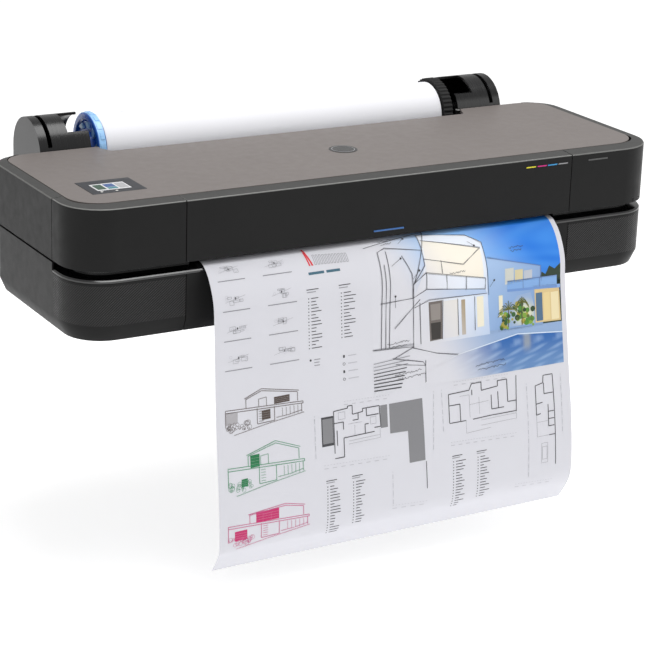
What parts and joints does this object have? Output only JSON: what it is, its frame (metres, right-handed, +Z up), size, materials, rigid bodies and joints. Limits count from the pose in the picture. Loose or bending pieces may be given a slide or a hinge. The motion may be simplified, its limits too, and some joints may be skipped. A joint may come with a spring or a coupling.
{
  "type": "large format plotter",
  "caption": "Desk-top large format inkjet plotter with a rear paper roll, hinged top cover and a printed sheet hanging from its output slot.",
  "frame": {"origin": "centre of the base pan's underside, midway between the end caps", "axes": "+X to the viewer's right along the paper roll, +Y to the rear where the roll sits, +Z up; the output slot faces -Y"},
  "size_m": [1.007, 0.5128, 0.5992],
  "materials": {
    "taupe": "satin, fine grain",
    "dark_plastic": "satin black",
    "gloss_black": "gloss black",
    "bezel_grey": "satin",
    "screen": "lit panel under clear cover",
    "light_strip": "translucent light guide",
    "blue_plastic": "semi-gloss",
    "paper": "coated plotter paper",
    "steel": "brushed",
    "rubber": "matt",
    "white_plastic": "moulded",
    "board_green": "solder resist on glass-fibre board",
    "copper_plate": "machined",
    "yellow": "gloss",
    "magenta": "gloss",
    "cyan": "gloss"
  },
  "bodies": {
    "root": {"left_corner_cover": "dark_plastic", "left_side_panel": "dark_plastic", "right_side_panel": "dark_plastic", "rear_cover": "dark_plastic", "lower_left_housing": "dark_plastic", "lower_right_housing": "dark_plastic", "lower_front_panel": "dark_plastic", "output_lip": "gloss_black", "base_pan": "steel", "foot_fl": "rubber", "foot_fr": "rubber", "foot_rl": "rubber", "foot_rr": "rubber", "left_roll_holder": "gloss_black", "right_roll_holder": "gloss_black", "rear_tray": "dark_plastic", "roll_motor": "steel", "paper_web": "paper", "left_frame": "steel", "right_frame": "steel", "rail_beam": "steel", "guide_shaft": "steel", "platen": "dark_plastic", "feed_motor": "steel", "drive_belt": "rubber", "carriage_motor": "steel", "knife_rail": "steel", "service_station": "dark_plastic", "ink_bay": "dark_plastic", "ink_cartridge_black": "gloss_black", "ink_cartridge_cyan": "cyan", "ink_cartridge_magenta": "magenta", "ink_cartridge_yellow": "yellow", "main_board": "board_green", "power_supply": "steel", "mains_inlet": "gloss_black"},
    "cover": {"front_panel": "dark_plastic", "top_plate": "taupe", "control_bezel": "bezel_grey", "screen_glass": "screen", "status_light": "light_strip"},
    "door": {"ink_door": "dark_plastic"},
    "sheet": {"printed_sheet": "paper"},
    "roll": {"spindle": "gloss_black", "blue_hub": "blue_plastic", "paper_roll": "paper", "gear_hub": "gloss_black"},
    "roll_drive": {"roll_drive_gear": "white_plastic"},
    "feed": {"feed_roller": "rubber", "feed_gear": "white_plastic"},
    "pinion": {"feed_pinion": "copper_plate"},
    "pinch": {"pinch_rollers": "rubber"},
    "carriage": {"carriage": "dark_plastic", "print_head": "steel"},
    "motor_pulley": {"motor_pulley": "white_plastic"},
    "idler_pulley": {"idler_pulley": "white_plastic"},
    "knife": {"knife_carriage": "dark_plastic"},
    "knife_wheel": {"knife_wheel": "steel"},
    "cap": {"print_cap": "rubber"},
    "rocker": {"power_rocker": "gloss_black"}
  },
  "joints": [
    {"name": "cover_hinge", "type": "hinge", "parent": "root", "child": "cover", "pos_m": [0, 0.1235, 0.1952], "axis": [-1, 0, 0], "range_deg": [0, 70]},
    {"name": "ink_door_hinge", "type": "hinge", "parent": "root", "child": "door", "pos_m": [0.4, -0.187, 0.11], "axis": [1, 0, 0], "range_deg": [0, 80]},
    {"name": "sheet_hinge", "type": "hinge", "parent": "root", "child": "sheet", "pos_m": [0, -0.205, 0.0925], "axis": [-1, 0, 0], "range_deg": [0, 80]},
    {"name": "roll_spin", "type": "hinge", "parent": "root", "child": "roll", "pos_m": [0, 0.1875, 0.183], "axis": [1, 0, 0], "continuous": true},
    {"name": "roll_drive_spin", "type": "hinge", "parent": "root", "child": "roll_drive", "pos_m": [0.316, 0.1875, 0.1064], "axis": [1, 0, 0], "continuous": true},
    {"name": "feed_spin", "type": "hinge", "parent": "root", "child": "feed", "pos_m": [0, 0.02, 0.0868], "axis": [1, 0, 0], "continuous": true},
    {"name": "feed_pinion_spin", "type": "hinge", "parent": "root", "child": "pinion", "pos_m": [-0.4485, -0.0166, 0.0868], "axis": [1, 0, 0], "continuous": true},
    {"name": "pinch_spin", "type": "hinge", "parent": "root", "child": "pinch", "pos_m": [0, 0.02, 0.1062], "axis": [1, 0, 0], "continuous": true},
    {"name": "carriage_slide", "type": "slide", "parent": "root", "child": "carriage", "axis": [1, 0, 0], "range_m": [-0.76, 0]},
    {"name": "motor_pulley_spin", "type": "hinge", "parent": "root", "child": "motor_pulley", "pos_m": [0.4465, 0.087, 0.166], "axis": [0, 0, 1], "range_deg": [-4540, 0]},
    {"name": "idler_pulley_spin", "type": "hinge", "parent": "root", "child": "idler_pulley", "pos_m": [-0.4465, 0.087, 0.166], "axis": [0, 0, 1], "range_deg": [-4540, 0]},
    {"name": "knife_slide", "type": "slide", "parent": "root", "child": "knife", "axis": [1, 0, 0], "range_m": [0, 0.705]},
    {"name": "knife_wheel_spin", "type": "hinge", "parent": "knife", "child": "knife_wheel", "pos_m": [-0.395, -0.159, 0.112], "axis": [0, 1, 0], "range_deg": [0, 4040]},
    {"name": "cap_lift", "type": "slide", "parent": "root", "child": "cap", "axis": [0, 0, -1], "range_m": [0, 0.006], "stiffness_N_per_m": 400, "springref_m": -0.004},
    {"name": "power_rocker_hinge", "type": "hinge", "parent": "root", "child": "rocker", "pos_m": [0.4345, 0.124, 0.063], "axis": [-1, 0, 0], "range_deg": [0, 16]}
  ],
  "couplings": [
    {"joint": "roll_drive_spin", "follows": "roll_spin", "ratio": -2.8235},
    {"joint": "feed_spin", "follows": "roll_spin", "ratio": -4.1667},
    {"joint": "feed_pinion_spin", "follows": "roll_spin", "ratio": 14.583},
    {"joint": "pinch_spin", "follows": "roll_spin", "ratio": 8.3333},
    {"joint": "motor_pulley_spin", "follows": "carriage_slide", "rad_per_m": 104.17},
    {"joint": "idler_pulley_spin", "follows": "carriage_slide", "rad_per_m": 104.17},
    {"joint": "knife_wheel_spin", "follows": "knife_slide", "rad_per_m": 100}
  ]
}
